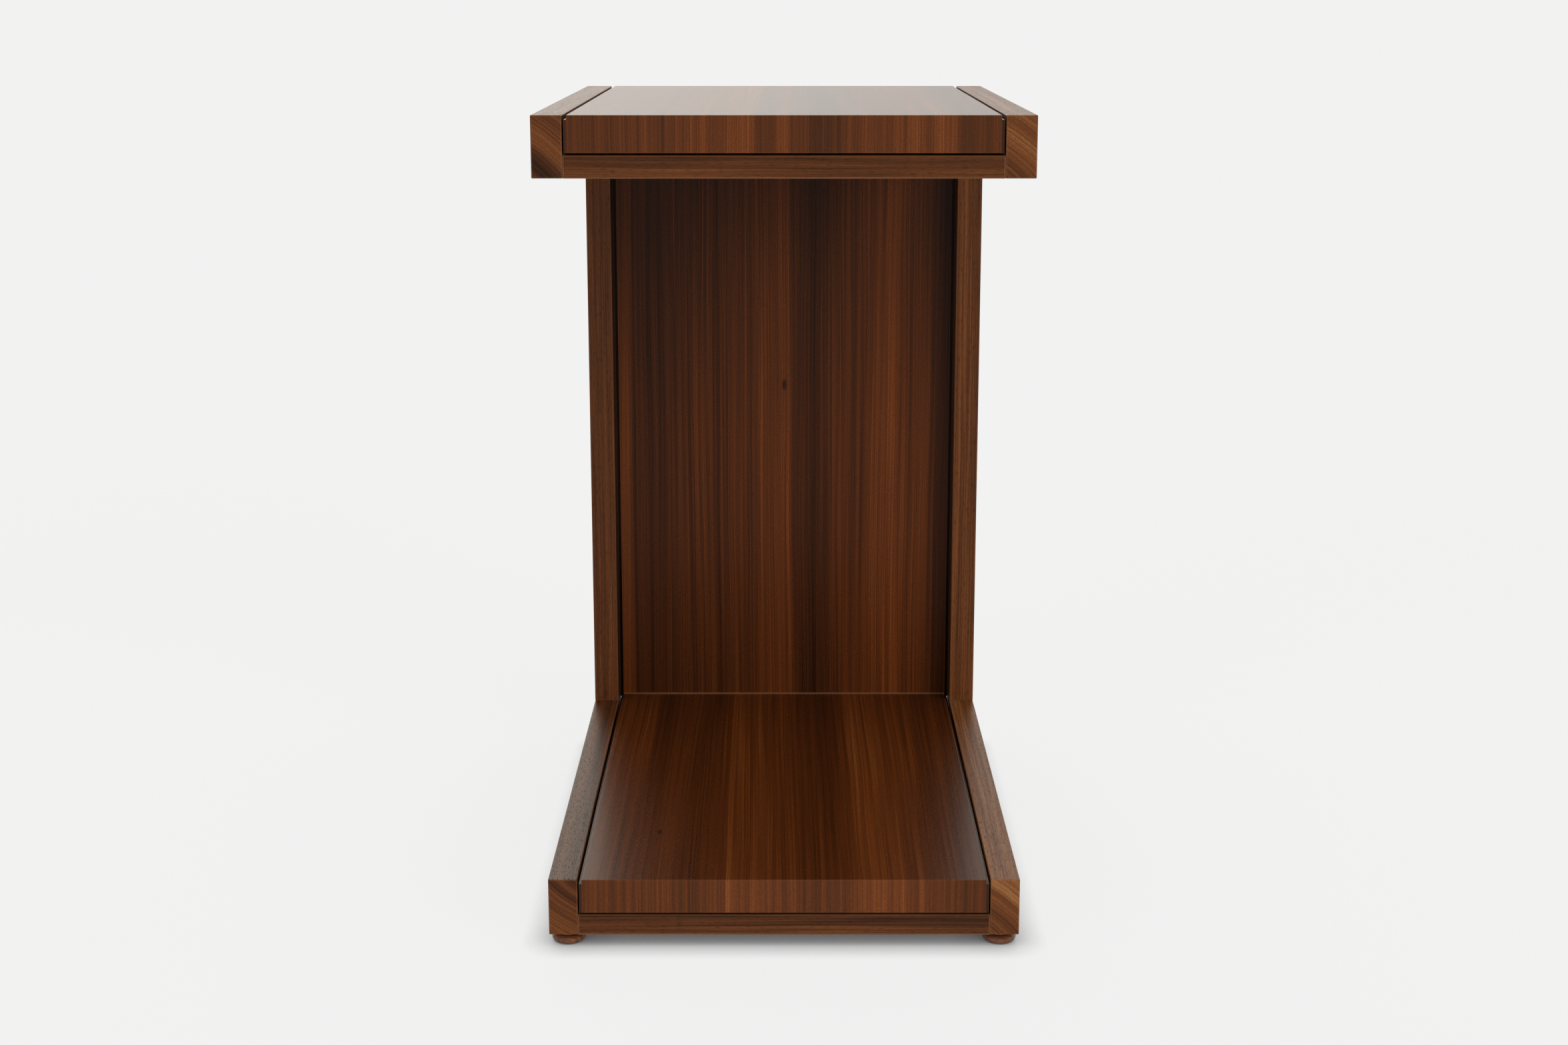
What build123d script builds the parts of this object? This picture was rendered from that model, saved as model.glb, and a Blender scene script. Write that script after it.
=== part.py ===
from build123d import *

import math
import os

# C-shaped side table: two solid side frames, three veneered panels between them and four levelling feet.
# Millimetres. The origin is on the floor under the middle of the table, +X to the right, +Y to the back
# (the closed side of the C) and +Z up.

# Overall sizes
width = 355.6
depth = 457.2
clear_height = 526.2  # opening of the C, from the base's upper face to the underside of the top

# Side frames
bar_width = 22.0
bar_height = 44.2
upright_depth = 36.3
arris = 0.7  # rounding of the solid pieces' edges
tenon_thickness = 8.0
tenon_width = 22.0
tenon_depth = 18.0  # into each of the two pieces that a tenon joins

# Panels
reveal = 3.2  # groove between a side frame and a panel
panel_thickness = 26.4
back_thickness = 16.0
panel_arris = 0.35
corner_bevel = 0.9  # of the back panel's edges in the inner corners of the C
strip_width = 2.0  # of the top and base strips, which leave an open slit beside the frames
strip_recess = 3.2
spline_thickness = 3.0
spline_depth = 5.0  # into each of the two panels that a spline joins
spline_inset = 24.0  # from the panel's sides

# Rails
shadow_gap = 1.6  # between a panel and its rails
rail_bevel = 1.4
rail_end_arris = 0.5
dowel_radius = 3.0
dowel_length = 28.0
dowel_in_bar = 12.0
dowel_spacing = 13.0
dowel_edge = 7.0  # from a dowel's axis to the edge of the rail that faces the middle of the table
dowel_wall = 2.5  # wood between a dowel and a foot's insert

# Screws that hold the panels
screw_inset = 45.0  # from the inner face of the side frame
screw_radius = 2.0
screw_head_radius = 4.0
screw_in_panel = 14.0
screw_hole_clearance = 0.25  # radial, in the rail and the spacer
socket_radius = 1.5
socket_depth = 1.5
spacer_radius = 7.0

# Levelling feet
foot_height = 9.5
foot_end_inset = 14.5  # from the table's front or back to the foot's axis
foot_gap = 0.3  # between pieces that turn or slide on each other
pad_radius = 12.7
pad_height = 6.0
pad_edge_radius = 2.9
boss_radius = 6.0
boss_depth = 3.0
collar_radius = 9.2
collar_edge_radius = 0.8
stud_radius = 3.0
stud_floor = 0.9  # of the boss, below the stud
stud_tip_bevel = 0.7
running_clearance = 0.05  # radial, round the stud and round the boss
insert_radius = 5.0
insert_length = 13.0
insert_wall = 3.4  # wood between an insert and the bar's inner face
stud_room_clearance = 0.6  # radial, in the bar above the insert
stud_room_end = 2.0  # above the stud's tip
stud_room_roof = 3.0  # wood between a stud's room and the tenon above it

# Levels, sides and centre lines
base_bottom = foot_height
base_top = base_bottom + bar_height
top_bottom = base_top + clear_height
top_top = top_bottom + bar_height
front = -depth / 2
rear = depth / 2
bar_inner = width / 2 - bar_width
bar_x = width / 2 - bar_width / 2
panel_half = bar_inner - reveal
upright_y = rear - upright_depth / 2
back_front = rear - back_thickness
rail_height = bar_height - panel_thickness - shadow_gap
rail_depth = foot_end_inset + insert_radius + dowel_wall + dowel_radius + dowel_spacing + dowel_edge
stud_room = bar_height - tenon_depth - stud_room_roof
sides = {"left": -1, "right": 1}
bar_bottoms = {"top": top_bottom, "base": base_bottom}

# Each cross rail's middle, bottom level, side of its bevel and side that faces the middle of the table.
# A side is -1 for the front and 1 for the back.
rails = {
    "top_front": (front + rail_depth / 2, top_bottom, -1, 1),
    "top_rear": (back_front - rail_depth / 2, top_bottom, -1, -1),
    "base_front": (front + rail_depth / 2, base_bottom, -1, 1),
    "base_rear": (rear - rail_depth / 2, base_bottom, 1, -1),
}
foot_x = bar_inner + insert_wall + insert_radius
foot_y = depth / 2 - foot_end_inset
feet = {
    "front_left": (-foot_x, -foot_y),
    "front_right": (foot_x, -foot_y),
    "rear_left": (-foot_x, foot_y),
    "rear_right": (foot_x, foot_y),
}

os.makedirs("parts", exist_ok=True)


def save(part, label):
    part.label = label
    export_step(part, f"parts/{label}.step")


def rail_dowel_points(middle, bottom, inner_side):
    """Dowel axes in one rail's ends, as (y, z) points."""
    first = rail_depth / 2 - dowel_edge
    offsets = (first, first - dowel_spacing)
    return [(middle + inner_side * offset, bottom + rail_height / 2) for offset in offsets]


def dowel_points(level):
    """Dowel axes on the inner faces of one level's bars, as (y, z) points."""
    here = [(middle, inner) for middle, bottom, _, inner in rails.values() if bottom == level]
    return [point for middle, inner in here for point in rail_dowel_points(middle, level, inner)]


def screw_points(level):
    """Screw axes of one level's rails, as (x, y) points."""
    x = bar_inner - screw_inset
    middles = [middle for middle, bottom, _, _ in rails.values() if bottom == level]
    return [(side * x, middle) for middle in middles for side in (-1, 1)]


# Side bars: one piece from front to back, mortised for the upright and drilled for the rails' dowels
def make_bar(side, level):
    joint_z = level if level == top_bottom else level + bar_height
    inward = 1 if level == top_bottom else -1
    with BuildPart() as bar:
        with BuildSketch(Plane.XY.offset(level)):
            with Locations((side * bar_x, 0)):
                Rectangle(bar_width, depth)
        extrude(amount=bar_height)
        fillet(bar.edges(), radius=arris)
        with BuildSketch(Plane.XY.offset(joint_z)):
            with Locations((side * bar_x, upright_y)):
                SlotOverall(tenon_width, tenon_thickness, rotation=90)
        extrude(amount=inward * tenon_depth, mode=Mode.SUBTRACT)
        with BuildSketch(Plane.YZ.offset(side * bar_inner)):
            with Locations(*dowel_points(level)):
                Circle(dowel_radius)
        extrude(amount=side * dowel_in_bar, mode=Mode.SUBTRACT)
        if level == base_bottom:
            with BuildSketch(Plane.XY.offset(level)):
                with Locations((side * foot_x, -foot_y), (side * foot_x, foot_y)):
                    Circle(insert_radius)
            extrude(amount=insert_length, mode=Mode.SUBTRACT)
            with BuildSketch(Plane.XY.offset(level)):
                with Locations((side * foot_x, -foot_y), (side * foot_x, foot_y)):
                    Circle(stud_radius + stud_room_clearance)
            extrude(amount=stud_room, mode=Mode.SUBTRACT)
    return bar.part


# Uprights: between the base bar and the top bar, mortised at both ends
def make_upright(side):
    with BuildPart() as upright:
        with BuildSketch(Plane.XY.offset(base_top)):
            with Locations((side * bar_x, upright_y)):
                Rectangle(bar_width, upright_depth)
        extrude(amount=clear_height)
        fillet(upright.edges(), radius=arris)
        with BuildSketch(Plane.XY.offset(base_top)):
            with Locations((side * bar_x, upright_y)):
                SlotOverall(tenon_width, tenon_thickness, rotation=90)
        extrude(amount=tenon_depth, mode=Mode.SUBTRACT)
        with BuildSketch(Plane.XY.offset(top_bottom)):
            with Locations((side * bar_x, upright_y)):
                SlotOverall(tenon_width, tenon_thickness, rotation=90)
        extrude(amount=-tenon_depth, mode=Mode.SUBTRACT)
    return upright.part


for side_name, side in sides.items():
    for level_name, level in bar_bottoms.items():
        save(make_bar(side, level), f"{side_name}_{level_name}_bar")
    save(make_upright(side), f"{side_name}_upright")

# Loose tenons, one in each corner between a bar and an upright
with BuildPart() as frame_tenons:
    for joint_z in (base_top, top_bottom):
        with BuildSketch(Plane.XY.offset(joint_z)):
            with Locations((-bar_x, upright_y), (bar_x, upright_y)):
                SlotOverall(tenon_width, tenon_thickness, rotation=90)
        extrude(amount=tenon_depth, both=True)
save(frame_tenons.part, "frame_tenons")

# Panels: the C's section, cut into three boards by mitres from the inner to the outer corners
top_inner_corner = (back_front, top_top - panel_thickness)
top_outer_corner = (rear, top_top)
base_panel_bottom = base_top - panel_thickness
base_inner_corner = (back_front, base_top)
base_outer_corner = (rear, base_panel_bottom)


def spline_place(inner, outer):
    """Middle of a mitre and the angle, in degrees, of the line square to it."""
    middle = ((inner[0] + outer[0]) / 2, (inner[1] + outer[1]) / 2)
    along = math.degrees(math.atan2(outer[1] - inner[1], outer[0] - inner[0]))
    return middle, along + 90


spline_places = {
    "top": spline_place(top_inner_corner, top_outer_corner),
    "base": spline_place(base_inner_corner, base_outer_corner),
}


def make_panel(corners, spline_names, screws=(), bevelled=()):
    """A board with the given section, slotted for its splines.

    corners and bevelled, which are corners to bevel, are (y, z) points. screws are (x, y) points to drill
    up from the underside.
    """
    underside = min(z for _, z in corners)
    with BuildPart() as panel:
        with BuildSketch(Plane.YZ):
            with BuildLine():
                Polyline(*corners, close=True)
            make_face()
        extrude(amount=panel_half, both=True)
        for y, z in bevelled:
            chamfer(panel.edges().filter_by(Axis.X).sort_by_distance((0, y, z))[0], length=corner_bevel)
        outside = panel.edges().filter_by(Axis.X, reverse=True)
        fillet(outside, radius=panel_arris)
        for name in spline_names:
            middle, angle = spline_places[name]
            with BuildSketch(Plane.YZ):
                with Locations(middle):
                    Rectangle(2 * spline_depth, spline_thickness, rotation=angle)
            extrude(amount=panel_half - spline_inset, both=True, mode=Mode.SUBTRACT)
        if screws:
            with BuildSketch(Plane.XY.offset(underside)):
                with Locations(*screws):
                    Circle(screw_radius)
            extrude(amount=screw_in_panel, mode=Mode.SUBTRACT)
    return panel.part


top_corners = [(front, top_inner_corner[1]), (front, top_top), top_outer_corner, top_inner_corner]
back_corners = [top_inner_corner, top_outer_corner, base_outer_corner, base_inner_corner]
base_corners = [(front, base_panel_bottom), (front, base_top), base_inner_corner, base_outer_corner]
inner_corners = [top_inner_corner, base_inner_corner]
save(make_panel(top_corners, ["top"], screws=screw_points(top_bottom)), "top_panel")
save(make_panel(back_corners, ["top", "base"], bevelled=inner_corners), "back_panel")
save(make_panel(base_corners, ["base"], screws=screw_points(base_bottom)), "base_panel")

# Loose splines across the two mitres
with BuildPart() as mitre_splines:
    for middle, angle in spline_places.values():
        with BuildSketch(Plane.YZ):
            with Locations(middle):
                Rectangle(2 * spline_depth, spline_thickness, rotation=angle)
        extrude(amount=panel_half - spline_inset, both=True)
save(mitre_splines.part, "mitre_splines")

# Strips on the panels' side edges, set back from the faces, which leave a narrow groove beside the frames.
# Each is a (width, lowest y, highest y, lowest z, highest z) section. The back ones fill the whole reveal.
groove_rear = rear - strip_recess
strip_sections = {
    "top": (strip_width, front, groove_rear, top_inner_corner[1], top_top - strip_recess),
    "back": (reveal, back_front + strip_recess, groove_rear, base_top - strip_recess, top_inner_corner[1]),
    "base": (strip_width, front, groove_rear, base_panel_bottom, base_top - strip_recess),
}
for side_name, side in sides.items():
    for strip_name, (across, y_low, y_high, z_low, z_high) in strip_sections.items():
        with BuildPart() as strip:
            with BuildSketch(Plane.YZ.offset(side * panel_half)):
                with Locations(((y_low + y_high) / 2, (z_low + z_high) / 2)):
                    Rectangle(y_high - y_low, z_high - z_low)
            extrude(amount=side * across)
        save(strip.part, f"{side_name}_{strip_name}_strip")


# Cross rails: between the bars, a shadow gap below their panel, with one bevelled upper edge
def make_rail(middle, bottom, bevel_side, inner_side):
    top = bottom + rail_height
    bevelled = middle + bevel_side * rail_depth / 2
    plain = middle - bevel_side * rail_depth / 2
    with BuildPart() as rail:
        with BuildSketch(Plane.YZ):
            with BuildLine():
                Polyline(
                    (bevelled, bottom),
                    (bevelled, top - rail_bevel),
                    (bevelled - bevel_side * rail_bevel, top),
                    (plain, top),
                    (plain, bottom),
                    close=True,
                )
            make_face()
        extrude(amount=bar_inner, both=True)
        ends = rail.edges().filter_by(Axis.X, reverse=True)
        fillet(ends, radius=rail_end_arris)
        for side in sides.values():
            with BuildSketch(Plane.YZ.offset(side * bar_inner)):
                with Locations(*rail_dowel_points(middle, bottom, inner_side)):
                    Circle(dowel_radius)
            extrude(amount=-side * (dowel_length - dowel_in_bar), mode=Mode.SUBTRACT)
        for side in sides.values():
            hole = (side * (bar_inner - screw_inset), middle, bottom)
            with Locations(Plane(origin=hole, z_dir=(0, 0, -1))):
                CounterSinkHole(
                    radius=screw_radius + screw_hole_clearance,
                    counter_sink_radius=screw_head_radius,
                    counter_sink_angle=90,
                )
    return rail.part


for rail_name, rail_place in rails.items():
    save(make_rail(*rail_place), f"{rail_name}_rail")

# Dowels between the bars and the rails
with BuildPart() as rail_dowels:
    for level in bar_bottoms.values():
        for side in sides.values():
            with BuildSketch(Plane.YZ.offset(side * (bar_inner + dowel_in_bar))):
                with Locations(*dowel_points(level)):
                    Circle(dowel_radius)
            extrude(amount=-side * dowel_length)
save(rail_dowels.part, "rail_dowels")

# Spacers in the shadow gaps, round the screws
with BuildPart() as panel_spacers:
    for level in bar_bottoms.values():
        with BuildSketch(Plane.XY.offset(level + rail_height)):
            with Locations(*screw_points(level)):
                Circle(spacer_radius)
                Circle(screw_radius + screw_hole_clearance, mode=Mode.SUBTRACT)
        extrude(amount=shadow_gap)
save(panel_spacers.part, "panel_spacers")

# One countersunk socket screw, standing on its head at the origin
screw_length = rail_height + shadow_gap + screw_in_panel
with BuildPart() as screw:
    with BuildSketch(Plane.XZ):
        with BuildLine():
            Polyline(
                (0, 0),
                (screw_head_radius, 0),
                (screw_radius, screw_head_radius - screw_radius),
                (screw_radius, screw_length),
                (0, screw_length),
                close=True,
            )
        make_face()
    revolve(axis=Axis.Z)
    with BuildSketch(Plane.XY):
        RegularPolygon(radius=socket_radius, side_count=6)
    extrude(amount=socket_depth, mode=Mode.SUBTRACT)

with BuildPart() as panel_screws:
    for level in bar_bottoms.values():
        with Locations(*[(x, y, level) for x, y in screw_points(level)]):
            add(screw.part)
save(panel_screws.part, "panel_screws")

# Threaded inserts, flush in the underside of the base bars
with BuildPart() as foot_inserts:
    with BuildSketch(Plane.XY.offset(base_bottom)):
        with Locations(*feet.values()):
            Circle(insert_radius)
            Circle(stud_radius + running_clearance, mode=Mode.SUBTRACT)
    extrude(amount=insert_length)
save(foot_inserts.part, "foot_inserts")


# Foot pad: a round-edged disc with a socket for the stem's boss
def make_pad(x, y):
    with BuildPart() as pad:
        with BuildSketch(Plane.XY):
            with Locations((x, y)):
                Circle(pad_radius)
        extrude(amount=pad_height)
        fillet(pad.edges(), radius=pad_edge_radius)
        with BuildSketch(Plane.XY.offset(pad_height)):
            with Locations((x, y)):
                Circle(boss_radius + running_clearance)
        extrude(amount=-boss_depth - foot_gap, mode=Mode.SUBTRACT)
    return pad.part


# Foot collar: a round grip above the pad, with a boss that turns in the pad and a bore for the stud
def make_collar(x, y):
    collar_bottom = pad_height + foot_gap
    collar_top = base_bottom - foot_gap
    boss_bottom = pad_height - boss_depth
    with BuildPart() as collar:
        with BuildSketch(Plane.XY.offset(collar_bottom)):
            with Locations((x, y)):
                Circle(collar_radius)
        extrude(amount=collar_top - collar_bottom)
        fillet(collar.edges(), radius=collar_edge_radius)
        with BuildSketch(Plane.XY.offset(boss_bottom)):
            with Locations((x, y)):
                Circle(boss_radius)
        extrude(amount=collar_bottom - boss_bottom)
        with BuildSketch(Plane.XY.offset(boss_bottom + stud_floor)):
            with Locations((x, y)):
                Circle(stud_radius)
        extrude(amount=collar_top - boss_bottom, mode=Mode.SUBTRACT)
    return collar.part


# Foot stud: fast in the collar, and running in the insert
def make_stud(x, y):
    stud_bottom = pad_height - boss_depth + stud_floor
    stud_tip = base_bottom + stud_room - stud_room_end
    with BuildPart() as stud:
        with BuildSketch(Plane.XY.offset(stud_bottom)):
            with Locations((x, y)):
                Circle(stud_radius)
        extrude(amount=stud_tip - stud_bottom)
        chamfer(stud.edges().sort_by(Axis.Z)[-1], length=stud_tip_bevel)
    return stud.part


for foot_name, (x, y) in feet.items():
    save(make_pad(x, y), f"{foot_name}_pad")
    save(make_collar(x, y), f"{foot_name}_collar")
    save(make_stud(x, y), f"{foot_name}_stud")
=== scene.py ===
"""Looks of the C-shaped walnut side table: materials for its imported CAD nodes, a pale floor, soft light and
the camera. Metres, in the CAD frame: +X to the right, +Y to the back, +Z up, the floor at z = 0.
"""
import math

import bpy
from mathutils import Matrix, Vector


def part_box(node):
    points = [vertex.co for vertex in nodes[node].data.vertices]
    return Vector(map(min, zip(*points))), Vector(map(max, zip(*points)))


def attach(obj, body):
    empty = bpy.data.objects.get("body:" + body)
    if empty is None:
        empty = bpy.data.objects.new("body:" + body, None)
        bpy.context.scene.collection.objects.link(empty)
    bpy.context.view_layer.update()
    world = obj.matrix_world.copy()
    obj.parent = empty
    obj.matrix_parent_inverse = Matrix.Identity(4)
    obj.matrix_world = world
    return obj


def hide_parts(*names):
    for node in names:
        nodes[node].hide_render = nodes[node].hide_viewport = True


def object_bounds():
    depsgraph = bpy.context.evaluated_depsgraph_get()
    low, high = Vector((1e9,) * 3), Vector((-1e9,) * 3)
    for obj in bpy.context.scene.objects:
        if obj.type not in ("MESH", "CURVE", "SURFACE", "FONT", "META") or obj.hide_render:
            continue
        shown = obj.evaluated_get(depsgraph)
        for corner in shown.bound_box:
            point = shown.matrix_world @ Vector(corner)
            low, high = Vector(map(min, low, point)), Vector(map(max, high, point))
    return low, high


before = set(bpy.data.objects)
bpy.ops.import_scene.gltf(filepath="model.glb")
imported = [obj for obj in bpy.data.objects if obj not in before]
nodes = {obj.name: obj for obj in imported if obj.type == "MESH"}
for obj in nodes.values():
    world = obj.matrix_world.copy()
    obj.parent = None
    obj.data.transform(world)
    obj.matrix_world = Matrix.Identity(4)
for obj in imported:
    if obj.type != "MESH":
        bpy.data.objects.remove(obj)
cad_low, cad_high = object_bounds()


# ---------------------------------------------------------------- camera

VIEW_DISTANCE = 1.537  # from the table's front to the camera
VIEW_RISE = 0.088  # of the camera above the table's top
VIEW_PITCH = 11.87  # degrees below the horizon
LENS = 50.0
SHIFT = -0.05


def add_camera():
    data = bpy.data.cameras.new("camera")
    data.lens = LENS
    data.sensor_width = 36.0
    data.shift_y = SHIFT
    data.clip_start = 0.05
    data.clip_end = 2000.0
    camera = bpy.data.objects.new("camera", data)
    camera.location = (0.0, cad_low.y - VIEW_DISTANCE, cad_high.z + VIEW_RISE)
    camera.rotation_euler = (math.radians(90.0 - VIEW_PITCH), 0.0, 0.0)
    bpy.context.scene.collection.objects.link(camera)
    bpy.context.scene.camera = camera


# ---------------------------------------------------------------- node helpers


class Tree:
    """Short calls for building one node tree. Values may be numbers, colours or other nodes' sockets."""

    def __init__(self, owner):
        owner.use_nodes = True
        self.tree = owner.node_tree
        self.tree.nodes.clear()

    def add(self, kind, **settings):
        node = self.tree.nodes.new(kind)
        for name, value in settings.items():
            setattr(node, name, value)
        return node

    def put(self, socket, value):
        if isinstance(value, bpy.types.NodeSocket):
            self.tree.links.new(value, socket)
        else:
            socket.default_value = value

    def math(self, operation, first, second=0.0, third=0.0):
        node = self.add("ShaderNodeMath", operation=operation)
        for socket, value in zip(node.inputs, (first, second, third)):
            self.put(socket, value)
        return node.outputs[0]

    def vector(self, x, y, z):
        node = self.add("ShaderNodeCombineXYZ")
        for socket, value in zip(node.inputs, (x, y, z)):
            self.put(socket, value)
        return node.outputs[0]

    def scaled(self, values, scales):
        """The vector of three values, each times its scale."""
        return self.vector(*[self.math("MULTIPLY", value, scale) for value, scale in zip(values, scales)])

    def noise(self, vector, scale=1.0, detail=2.0, roughness=0.5):
        node = self.add("ShaderNodeTexNoise")
        self.put(node.inputs["Vector"], vector)
        node.inputs["Scale"].default_value = scale
        node.inputs["Detail"].default_value = detail
        node.inputs["Roughness"].default_value = roughness
        return node.outputs["Fac"]

    def grain(self, across, along, seed, scales, **settings):
        """Noise drawn out along the grain. scales are how fine it is across and along."""
        across, along = self.math("MULTIPLY", across, scales[0]), self.math("MULTIPLY", along, scales[1])
        return self.noise(self.vector(across, seed, along), **settings)

    def ramp(self, value, stops):
        node = self.add("ShaderNodeValToRGB")
        ramp = node.color_ramp
        while len(ramp.elements) < len(stops):
            ramp.elements.new(1.0)
        for element, (place, colour) in zip(ramp.elements, stops):
            element.position = place
            element.color = colour if len(colour) == 4 else (*colour, 1.0)
        self.put(node.inputs[0], value)
        return node.outputs["Color"]

    def steps(self, value, stops):
        """A ramp of grey levels, as a plain number."""
        return self.math("ADD", self.ramp(value, [(place, (grey, grey, grey)) for place, grey in stops]), 0.0)

    def spread(self, value, low, high, out_low=0.0, out_high=1.0):
        node = self.add("ShaderNodeMapRange")
        for socket, number in zip(node.inputs, (value, low, high, out_low, out_high)):
            self.put(socket, number)
        return node.outputs["Result"]

    def mix(self, factor, first, second, blend="MIX"):
        node = self.add("ShaderNodeMix", data_type="RGBA", blend_type=blend)
        self.put(node.inputs["Factor"], factor)
        self.put(node.inputs["A"], first)
        self.put(node.inputs["B"], second)
        return node.outputs["Result"]

    def place(self):
        """The point's own coordinates in the CAD frame."""
        split = self.add("ShaderNodeSeparateXYZ")
        self.put(split.inputs[0], self.add("ShaderNodeTexCoord").outputs["Object"])
        return split.outputs

    def near_edge(self, low, high, width):
        """1 on the edges of the box from low to high and 0 farther than width from them, on its surface."""
        away = [
            self.math("MINIMUM", self.math("SUBTRACT", here, start), self.math("SUBTRACT", end, here))
            for here, start, end in zip(self.place(), low, high)
        ]
        least = self.math("MINIMUM", self.math("MINIMUM", away[0], away[1]), away[2])
        most = self.math("MAXIMUM", self.math("MAXIMUM", away[0], away[1]), away[2])
        total = self.math("ADD", self.math("ADD", away[0], away[1]), away[2])
        middle = self.math("SUBTRACT", self.math("SUBTRACT", total, least), most)
        return self.spread(middle, 0.4 * width, width, 1.0, 0.0)

    def finish(self, colour, roughness, height=None, relief=0.0, **plain):
        """The surface shader. height, in 0 to 1, is a bump of the given relief in metres."""
        shader = self.add("ShaderNodeBsdfPrincipled")
        self.put(shader.inputs["Base Color"], colour)
        self.put(shader.inputs["Roughness"], roughness)
        for name, value in plain.items():
            shader.inputs[name.replace("_", " ")].default_value = value
        if height is not None:
            bump = self.add("ShaderNodeBump")
            bump.inputs["Strength"].default_value = 1.0
            bump.inputs["Distance"].default_value = relief
            self.put(bump.inputs["Height"], height)
            self.put(shader.inputs["Normal"], bump.outputs[0])
        output = self.add("ShaderNodeOutputMaterial")
        self.put(output.inputs["Surface"], shader.outputs[0])


# ---------------------------------------------------------------- walnut

UMBER = (0.018, 0.0052, 0.0018)
BROWN = (0.054, 0.0145, 0.0036)
RUSSET = (0.114, 0.0285, 0.0060)
AMBER = (0.203, 0.0530, 0.0105)
HONEY = (0.340, 0.1150, 0.0280)
VENEER_TONES = [(0.0, UMBER), (0.28, BROWN), (0.56, RUSSET), (0.80, AMBER), (1.0, HONEY)]
SOLID_TONES = [(place, (red, 1.28 * green, 1.9 * blue)) for place, (red, green, blue) in VENEER_TONES]
TONE_SCALE = 0.8  # a tone of 1 is AMBER
PORE = (0.010, 0.0035, 0.0018, 1.0)
HIGHLIGHT_AND_LIPPING = (0.32, 0.15, 0.075, 1.0)  # painted highlight along edges and joints; also the paler lipping of the panels' front edges
LACQUER_IOR = 1.26
SOLID_ROUGHNESS = 0.34
VENEER_ROUGHNESS = 0.25
FIBRES = (1100.0, 1100.0, 18.0)  # how fine they are in the two directions across the grain and along it
PORES = (2100.0, 2100.0, 170.0)
PORE_RELIEF = 0.00006
RINGS = 330.0  # growth rings in a metre
RING_TONES = [(0.0, 0.75), (0.45, 0.62), (0.8, 0.3), (0.93, 0.0), (1.0, 0.7)]
CORE_TONE = 0.25  # how much darker the core wood is
KNOT_SIZE = (0.0020, 0.0048)  # half of it across and along the grain
INNER_CORNER = (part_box("back_panel")[0].y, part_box("base_panel")[1].z)  # y and z where back and base meet
INNER_LINE = 0.0007  # along that line the bevels get a painted highlight
LIPPING = 0.0006  # of the panels' front edges, which are a little paler


def finish_walnut(tree, tones, tone, across, other, along, roughness, highlight_and_lipping_mask):
    """Adds fibres, pores and a mask (0 to 1) of painted highlights along edges and joints, with the panels'
    paler lipping, to a tone, and ends the material.
    """
    fibre = tree.noise(tree.scaled((across, other, along), FIBRES), detail=3.0, roughness=0.6)
    pores = tree.spread(tree.noise(tree.scaled((across, other, along), PORES), detail=1.0), 0.57, 0.70)
    toned = tree.math("MULTIPLY_ADD", tree.math("SUBTRACT", fibre, 0.5), 0.60, tone)
    wood = tree.ramp(tree.math("MULTIPLY", toned, TONE_SCALE), tones)
    wood = tree.mix(tree.math("MULTIPLY", pores, 0.55), wood, PORE)
    # painted highlight: masked edges and joints mix towards a pale colour; on the panels' front edges also
    # the paler lipping
    wood = tree.mix(highlight_and_lipping_mask, wood, HIGHLIGHT_AND_LIPPING)
    lacquer = tree.spread(fibre, 0.3, 0.7, roughness - 0.03, roughness + 0.03)
    height = tree.math("SUBTRACT", tree.math("MULTIPLY", fibre, 0.35), tree.math("MULTIPLY", pores, 0.6))
    tree.finish(wood, tree.math("MULTIPLY_ADD", pores, 0.15, lacquer), height, PORE_RELIEF, IOR=LACQUER_IOR)


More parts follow.
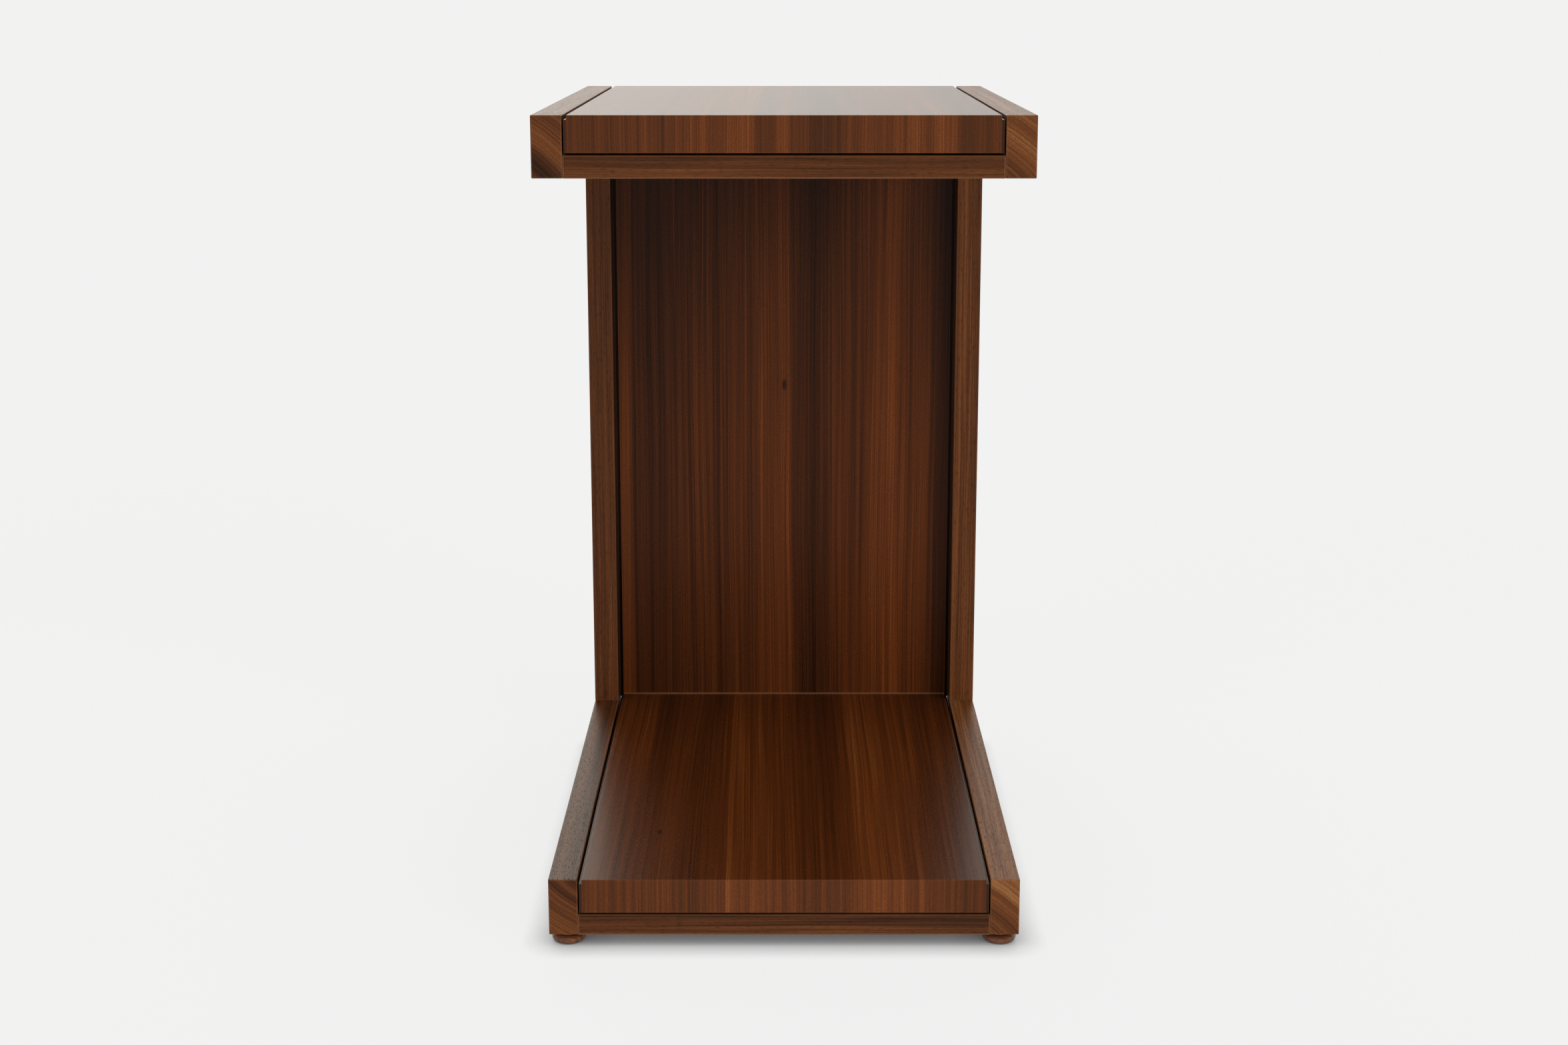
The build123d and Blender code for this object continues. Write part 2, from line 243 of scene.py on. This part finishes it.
def solid_walnut(name, axis, heart, seed, edge_highlight_strength, painted_side_shade, lift, contrast, core):
    """Walnut sawn from a trunk whose heart runs parallel to axis through that point of the cross-section.

    The wood is darker closer to the heart than the radius core. The side that faces the table's middle gets
    painted shade of the given strength, for the shadow in the groove beside the back panel.
    """
    material = bpy.data.materials.new(f"walnut_{name}")
    tree = Tree(material)
    place = tree.place()
    cross = [i for i in range(3) if i != axis]
    across, other, along = place[cross[0]], place[cross[1]], place[axis]
    wander = tree.noise(
        tree.vector(
            tree.math("MULTIPLY", across, 14.0),
            tree.math("MULTIPLY_ADD", other, 14.0, seed),
            tree.math("MULTIPLY", along, 2.2),
        ),
        detail=2.0,
    )
    from_heart = [tree.math("SUBTRACT", across, heart[0]), tree.math("SUBTRACT", other, heart[1])]
    squares = [tree.math("POWER", value, 2.0) for value in from_heart]
    radius = tree.math("MULTIPLY_ADD", wander, 0.007, tree.math("SQRT", tree.math("ADD", *squares)))
    rings = tree.math("MULTIPLY_ADD", tree.noise(tree.vector(radius, seed, 0.0), 60.0), 3.0,
                      tree.math("MULTIPLY", radius, RINGS))
    ring = tree.steps(tree.math("FRACT", rings), RING_TONES)
    broad = tree.grain(radius, along, seed, (90.0, 1.1), detail=1.0)
    reach = 0.20 * contrast
    tone = tree.math("ADD", tree.spread(broad, 0.35, 0.65, 0.58 - reach + lift, 0.58 + reach + lift),
                     tree.spread(ring, 0.0, 0.75, -0.13 * contrast, 0.06 * contrast))
    tone = tree.math("SUBTRACT", tone, tree.spread(radius, core + 0.003, core + 0.005, CORE_TONE, 0.0))
    inner = min(abs(edge.x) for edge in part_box(name))
    aside = tree.math("ABSOLUTE", place[0])
    # painted shade on the side that faces the table's middle
    tone = tree.math("SUBTRACT", tone, tree.spread(aside, inner + 0.0003, inner + 0.0008, painted_side_shade, 0.0))
    lines = tree.noise(
        tree.vector(
            tree.math("MULTIPLY", radius, 700.0),
            tree.math("MULTIPLY", tree.math("ADD", across, other), 30.0),
            tree.math("MULTIPLY_ADD", along, 5.0, seed),
        ),
        detail=2.0,
    )
    tone = tree.math("ADD", tone, tree.spread(lines, 0.3, 0.7, -0.18, 0.18))
    # painted highlight along the piece's edges, of the given strength
    highlight_and_lipping_mask = tree.math("MULTIPLY", tree.near_edge(*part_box(name), 0.0012), edge_highlight_strength)
    finish_walnut(tree, SOLID_TONES, tone, across, other, along, SOLID_ROUGHNESS, highlight_and_lipping_mask)
    return material


# Tone of each panel's veneer leaves from its left to its right side: (share of the width, tone)
TOP_BANDS = [
    (0.000, 0.54), (0.030, 0.48), (0.090, 0.60), (0.130, 0.54), (0.170, 0.62), (0.215, 0.48),
    (0.250, 0.60), (0.300, 0.70), (0.360, 0.74), (0.405, 0.82), (0.436, 0.78), (0.441, 0.48),
    (0.470, 0.46), (0.490, 0.60), (0.510, 0.74), (0.523, 0.54), (0.570, 0.46), (0.612, 0.34),
    (0.624, 0.44), (0.655, 0.60), (0.682, 0.46), (0.688, 0.68), (0.740, 0.60), (0.765, 0.70),
    (0.870, 0.76), (0.897, 0.74), (0.902, 0.52), (0.935, 0.46), (0.970, 0.42), (1.000, 0.50),
]
BACK_BANDS = [
    (0.000, 0.78), (0.036, 0.76), (0.041, 0.40), (0.110, 0.30), (0.160, 0.38), (0.220, 0.42),
    (0.280, 0.50), (0.300, 0.34), (0.340, 0.56), (0.360, 0.50), (0.450, 0.62), (0.517, 0.72),
    (0.522, 0.50), (0.560, 0.36), (0.592, 0.24), (0.620, 0.36), (0.650, 0.48), (0.700, 0.56),
    (0.760, 0.64), (0.795, 0.72), (0.812, 0.82), (0.842, 0.80), (0.870, 0.62), (0.930, 0.58),
    (0.960, 0.44), (1.000, 0.34),
]
BASE_BANDS = [
    (0.000, 0.60), (0.050, 0.58), (0.110, 0.54), (0.155, 0.42), (0.175, 0.50), (0.200, 0.60),
    (0.225, 0.50), (0.270, 0.42), (0.310, 0.50), (0.347, 0.54), (0.352, 0.76), (0.400, 0.66),
    (0.460, 0.66), (0.490, 0.56), (0.525, 0.62), (0.545, 0.44), (0.585, 0.50), (0.606, 0.36),
    (0.640, 0.48), (0.677, 0.54), (0.682, 0.76), (0.725, 0.82), (0.760, 0.72), (0.800, 0.68),
    (0.870, 0.60), (0.895, 0.42), (0.930, 0.54), (0.970, 0.44), (1.000, 0.42),
]


def veneer_walnut(name, bands, seed, lift=0.0, knot=None, painted_top_shadow=0.0):
    """Straight-grained veneer that runs on over a panel's edges and round the corners of the C.

    knot is its x and its place along the grain. The last argument darkens the leaves up the back: painted
    shade of the top.
    They also get painted shade deep inside the C, darker towards the line where back and base meet.
    """
    material = bpy.data.materials.new(f"veneer_{name}")
    tree = Tree(material)
    x, y, z = tree.place()[:3]
    low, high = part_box(name)
    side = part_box("top_panel")
    along = tree.math("ADD", y, z)
    drift = tree.grain(x, along, seed, (9.0, 1.6))
    shifted = tree.math("MULTIPLY_ADD", tree.math("SUBTRACT", drift, 0.5), 0.014, x)
    share = tree.spread(shifted, side[0].x, side[1].x)
    streak = tree.grain(shifted, along, seed, (190.0, 1.3), detail=4.0, roughness=0.65)
    lines = tree.grain(shifted, along, seed, (800.0, 3.0))
    tone = tree.math("ADD", tree.steps(share, bands), tree.spread(streak, 0.3, 0.7, lift - 0.20, lift + 0.20))
    tone = tree.math("ADD", tone, tree.spread(lines, 0.3, 0.7, -0.19, 0.19))
    # painted shade: darker up the back, where the top casts its shadow
    tone = tree.math("SUBTRACT", tone, tree.spread(z, 0.30, 0.50, 0.0, painted_top_shadow))
    if knot is not None:
        aside = tree.math("DIVIDE", tree.math("SUBTRACT", shifted, knot[0]), KNOT_SIZE[0])
        ahead = tree.math("DIVIDE", tree.math("SUBTRACT", along, knot[1]), KNOT_SIZE[1])
        away = tree.math("ADD", tree.math("POWER", aside, 2.0), tree.math("POWER", ahead, 2.0))
        tone = tree.math("SUBTRACT", tone, tree.spread(away, 0.1, 1.6, 0.55, 0.0))
    from_corner = [tree.math("SUBTRACT", y, INNER_CORNER[0]), tree.math("SUBTRACT", z, INNER_CORNER[1])]
    squares = [tree.math("POWER", value, 2.0) for value in from_corner]
    depth = tree.math("SQRT", tree.math("ADD", *squares))
    # painted shade: darker towards the inner corner where back and base meet
    tone = tree.math("SUBTRACT", tone, tree.spread(depth, 0.02, 0.16, 0.10, 0.0))
    # painted highlight on the bevels along the back-to-base joint and on every edge of the panel
    corner = tree.spread(depth, INNER_LINE, 2.0 * INNER_LINE, 0.5, 0.0)
    edge = tree.math("MULTIPLY", tree.near_edge(low, high, 0.0009), 0.14)
    lipping = tree.spread(y, side[0].y + LIPPING, side[0].y + 1.5 * LIPPING, 0.06, 0.0)
    highlight_and_lipping_mask = tree.math("MAXIMUM", tree.math("MAXIMUM", corner, edge), lipping)
    finish_walnut(tree, VENEER_TONES, tone, x, tree.math("SUBTRACT", y, z), along, VENEER_ROUGHNESS, highlight_and_lipping_mask)
    return material


# ---------------------------------------------------------------- other materials


TOOL_MARKS = 2000.0  # how fine they are along the axis of what is turned


def moulded_brown(name):
    material = bpy.data.materials.new(name)
    tree = Tree(material)
    grain = tree.noise(tree.scaled(tree.place(), (60.0, 500.0, 60.0)), detail=3.0)
    colour = tree.ramp(grain, [(0.3, (0.10, 0.032, 0.013)), (0.7, (0.25, 0.095, 0.040))])
    tree.finish(colour, tree.spread(grain, 0.3, 0.7, 0.16, 0.24), grain, 0.00002,
                Coat_Weight=0.6, Coat_Roughness=0.06)
    return material


def turned_metal(name, colour):
    material = bpy.data.materials.new(name)
    tree = Tree(material)
    marks = tree.noise(tree.scaled(tree.place(), (40.0, 40.0, TOOL_MARKS)), detail=3.0)
    dark = tuple(0.8 * c for c in colour)
    tree.finish(tree.ramp(marks, [(0.35, dark), (0.65, colour)]), tree.spread(marks, 0.3, 0.7, 0.22, 0.4),
                marks, 0.00002, Metallic=1.0)
    return material


def matt_nylon(name):
    material = bpy.data.materials.new(name)
    tree = Tree(material)
    grain = tree.noise(tree.add("ShaderNodeTexCoord").outputs["Object"], 2500.0, detail=2.0)
    tree.finish(tree.ramp(grain, [(0.3, (0.012, 0.012, 0.012)), (0.7, (0.03, 0.03, 0.03))]),
                tree.spread(grain, 0.3, 0.7, 0.5, 0.65), grain, 0.00003)
    return material


def pale_wood(name):
    material = bpy.data.materials.new(name)
    tree = Tree(material)
    grain = tree.noise(tree.scaled(tree.place(), (40.0, 900.0, 900.0)), detail=3.0)
    tree.finish(tree.ramp(grain, [(0.3, (0.42, 0.26, 0.14)), (0.7, (0.60, 0.42, 0.26))]),
                tree.spread(grain, 0.3, 0.7, 0.5, 0.65), grain, 0.00005)
    return material


def dress(node_names, material):
    for name in node_names:
        data = nodes[name].data
        data.materials.clear()
        data.materials.append(material)


# The bars, uprights and rails: which way the trunk's heart lies from the piece's middle in its cross-section,
# in metres, how much lighter than the plain tone the wood is, how strong its rings are, and how far from the
# piece's middle, towards the heart, the dark core begins
BARS = {
    "left_top_bar": ((-0.070, -0.090), 0.16, 0.9, 0.0070),
    "right_top_bar": ((-0.071, -0.097), 0.30, 0.7, 0.0111),
    "left_base_bar": ((0.070, 0.090), 0.25, 0.9, 0.0070),
    "right_base_bar": ((-0.080, -0.100), 0.48, 0.9, -0.0060),
}
UPRIGHTS = {
    "left_upright": ((0.09, -0.06), 0.06, 0.5, 0.03),
    "right_upright": ((-0.09, -0.06), 0.17, 0.5, 0.03),
}
RAILS = {
    "top_front_rail": ((0.05, 0.09), 0.12, 0.7, 0.03),
    "top_rear_rail": ((0.05, -0.09), 0.06, 0.7, 0.03),
    "base_front_rail": ((0.05, -0.09), -0.08, 1.0, 0.03),
    "base_rear_rail": ((0.05, 0.09), 0.00, 0.8, 0.03),
}


# Direction of the grain, strength of the painted highlight along the edges, and of the painted shade on the
# side that faces the table's middle
SOLID_GROUPS = [(1, 0.2, 0.0, BARS), (2, 0.2, 0.35, UPRIGHTS), (0, 0.4, 0.0, RAILS)]
FEET = ("front_left", "front_right", "rear_left", "rear_right")


def dress_all():
    seed = 3.0
    for axis, edge_highlight_strength, painted_side_shade, pieces in SOLID_GROUPS:
        cross = [i for i in range(3) if i != axis]
        for name, (away, lift, contrast, core) in pieces.items():
            low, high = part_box(name)
            heart = [(low[i] + high[i]) / 2 + shift for i, shift in zip(cross, away)]
            core = math.hypot(*away) - core
            dress([name], solid_walnut(name, axis, heart, seed, edge_highlight_strength, painted_side_shade, lift, contrast, core))
            seed += 4.0
    dress(["top_panel"], veneer_walnut("top_panel", TOP_BANDS, 1.0, 0.04))
    dress(["back_panel"], veneer_walnut("back_panel", BACK_BANDS, 2.0, knot=(0.0, 0.565), painted_top_shadow=0.20))
    dress(["base_panel"], veneer_walnut("base_panel", BASE_BANDS, 5.0, 0.13, knot=(-0.098, -0.08)))
    for name in nodes:
        if name.endswith("_strip"):
            # painted shade: the strips deep in the grooves are made very dark
            dress([name], veneer_walnut(name, BACK_BANDS, 9.0, -0.68))
    dress(["frame_tenons", "mitre_splines", "rail_dowels"], pale_wood("beech"))
    dress(["panel_spacers"], matt_nylon("nylon"))
    dress(["foot_inserts"], turned_metal("insert_brass", (0.72, 0.50, 0.22)))
    steel = turned_metal("zinc_steel", (0.58, 0.58, 0.60))
    dress(["panel_screws"] + [name for name in nodes if name.endswith("_stud")], steel)
    for foot in FEET:
        cut_thread(foot, steel)
    dress([n for n in nodes if n.endswith("_pad") or n.endswith("_collar")], moulded_brown("foot_plastic"))


# ---------------------------------------------------------------- threads of the feet


THREAD_PITCH = 0.001  # one turn of a foot moves it this far
THREAD_DEPTH = 0.00055
THREAD_SIDES = 32
THREAD_STEPS = 8  # rings of points in each turn
STUD_TIP_BEVEL = 0.0007


def cut_thread(foot, steel):
    """A right-handed threaded stud in place of the CAD's plain one, just as long and thick."""
    low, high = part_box(f"{foot}_stud")
    crest = (high.x - low.x) / 2
    rings = round((high.z - low.z) / THREAD_PITCH * THREAD_STEPS)
    points = []
    for ring in range(rings + 1):
        height = (high.z - low.z) * ring / rings
        for side in range(THREAD_SIDES):
            turn = side / THREAD_SIDES
            groove = 1.0 - abs((height / THREAD_PITCH - turn) % 1.0 - 0.5) * 2.0
            radius = min(crest - THREAD_DEPTH * groove, crest - STUD_TIP_BEVEL + high.z - low.z - height)
            angle = 2.0 * math.pi * turn
            points.append(((low.x + high.x) / 2 + radius * math.cos(angle),
                           (low.y + high.y) / 2 + radius * math.sin(angle), low.z + height))
    last = rings * THREAD_SIDES
    faces = [tuple(reversed(range(THREAD_SIDES))), tuple(range(last, last + THREAD_SIDES))]
    for ring in range(rings):
        for side in range(THREAD_SIDES):
            here, beside = ring * THREAD_SIDES + side, ring * THREAD_SIDES + (side + 1) % THREAD_SIDES
            faces.append((here, beside, beside + THREAD_SIDES, here + THREAD_SIDES))
    mesh = bpy.data.meshes.new(f"{foot}_threaded_stud")
    mesh.from_pydata(points, [], faces)
    mesh.materials.append(steel)
    stud = bpy.data.objects.new(f"{foot}_threaded_stud", mesh)
    bpy.context.scene.collection.objects.link(stud)
    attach(stud, f"{foot}_screw")
    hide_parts(f"{foot}_stud")


# ---------------------------------------------------------------- stage and light


PAPER = 0.896  # what the background and the open floor send to the camera
PAPER_SHADED = 0.12  # the share of the floor's light that shadows take away; the rest comes from below
GLOW = 0.92  # of the floor as the camera sees it
GLOW_BESIDE = 0.40  # of the floor as the object is lit by it
CONTACT_SHADOW_REACH = 0.026  # how far from the feet and the base the painted contact shadow darkens the floor
FLOOR_LEFT, FLOOR_RIGHT, FLOOR_REACH = -250.0, 550.0, 400.0  # its diagonal passes far from the table
FLOOR_LEVEL = -0.0002  # clear of the feet's faces, which would else coincide with it


def add_floor():
    corners = [(FLOOR_LEFT, -FLOOR_REACH), (FLOOR_RIGHT, -FLOOR_REACH), (FLOOR_RIGHT, FLOOR_REACH),
               (FLOOR_LEFT, FLOOR_REACH)]
    mesh = bpy.data.meshes.new("floor")
    mesh.from_pydata([(x, y, FLOOR_LEVEL) for x, y in corners], [], [(0, 1, 2, 3)])
    floor = bpy.data.objects.new("floor", mesh)
    bpy.context.scene.collection.objects.link(floor)
    material = bpy.data.materials.new("floor_paper")
    tree = Tree(material)
    paper = tree.add("ShaderNodeBsdfDiffuse")
    paper.inputs["Color"].default_value = (0.85, 0.88, 0.93, 1.0)
    glow = tree.add("ShaderNodeEmission")
    glow.inputs["Color"].default_value = (1.0, 1.0, 1.0, 1.0)
    # painted contact shadow: the floor's glow is dimmed by ambient occlusion near the feet and the base
    contact_shadow = tree.add("ShaderNodeAmbientOcclusion", samples=8)
    contact_shadow.inputs["Distance"].default_value = CONTACT_SHADOW_REACH
    seen = tree.add("ShaderNodeLightPath").outputs["Is Camera Ray"]
    brightness = tree.spread(seen, 0.0, 1.0, GLOW_BESIDE, GLOW)
    tree.put(glow.inputs["Strength"], tree.math("MULTIPLY", brightness, contact_shadow.outputs["AO"]))
    both = tree.add("ShaderNodeMixShader")
    both.inputs[0].default_value = PAPER_SHADED
    tree.put(both.inputs[1], glow.outputs[0])
    tree.put(both.inputs[2], paper.outputs[0])
    output = tree.add("ShaderNodeOutputMaterial")
    tree.put(output.inputs["Surface"], both.outputs[0])
    mesh.materials.append(material)
    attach(floor, "front_left_pad")  # so that the table stands on its feet when all are screwed out


def add_world():
    """White all round to the camera. It lights the object most from behind and above."""
    world = bpy.data.worlds.new("studio")
    bpy.context.scene.world = world
    tree = Tree(world)
    split = tree.add("ShaderNodeSeparateXYZ")
    tree.put(split.inputs[0], tree.add("ShaderNodeTexCoord").outputs["Generated"])
    x, y, z = split.outputs[:3]
    round_about = tree.spread(y, 0.4, 0.8, 0.42, 0.95)
    round_about = tree.math("MULTIPLY", round_about, tree.spread(z, 0.05, 0.5, 1.0, 0.35))
    behind = tree.math("MULTIPLY", tree.spread(z, 0.06, 0.32), tree.spread(y, 0.5, 0.8, 0.0, 1.7))
    behind = tree.math("MULTIPLY", behind, tree.spread(x, -0.12, 0.12, 1.2, 0.5))
    behind = tree.math("MULTIPLY", behind, tree.spread(tree.math("ABSOLUTE", x), 0.3, 0.5, 1.0, 0.0))
    overhead = tree.spread(z, 0.7, 0.95, 0.0, 0.9)
    soft_boxes = tree.math("ADD", behind, overhead)
    white = tree.mix(1.0, (1.0, 1.0, 1.0, 1.0), round_about, "MULTIPLY")
    warm = tree.mix(1.0, (1.0, 0.92, 0.77, 1.0), soft_boxes, "MULTIPLY")
    light = tree.mix(1.0, white, warm, "ADD")
    seen = tree.add("ShaderNodeLightPath").outputs["Is Camera Ray"]
    background = tree.add("ShaderNodeBackground")
    tree.put(background.inputs["Color"], tree.mix(seen, light, (PAPER, PAPER, PAPER, 1.0)))
    output = tree.add("ShaderNodeOutputWorld")
    tree.put(output.inputs["Surface"], background.outputs[0])


def add_sun(name, direction, strength, spread, colour):
    """A wide soft light that gives no highlight: the world's light is what the lacquer mirrors."""
    data = bpy.data.lights.new(name, "SUN")
    data.energy = strength
    data.angle = math.radians(spread)
    data.color = colour
    sun = bpy.data.objects.new(name, data)
    sun.visible_glossy = False
    sun.rotation_mode = "QUATERNION"
    sun.rotation_quaternion = Vector(direction).to_track_quat("-Z", "Y")
    bpy.context.scene.collection.objects.link(sun)


add_camera()
dress_all()
add_floor()
add_world()
add_sun("key", direction=(-0.85, 0.80, -0.21), strength=1.8, spread=40.0, colour=(1.0, 0.97, 0.93))
add_sun("fill", direction=(0.85, 0.80, -0.15), strength=1.2, spread=40.0, colour=(1.0, 0.98, 0.95))
bpy.context.scene.view_settings.view_transform = "Standard"
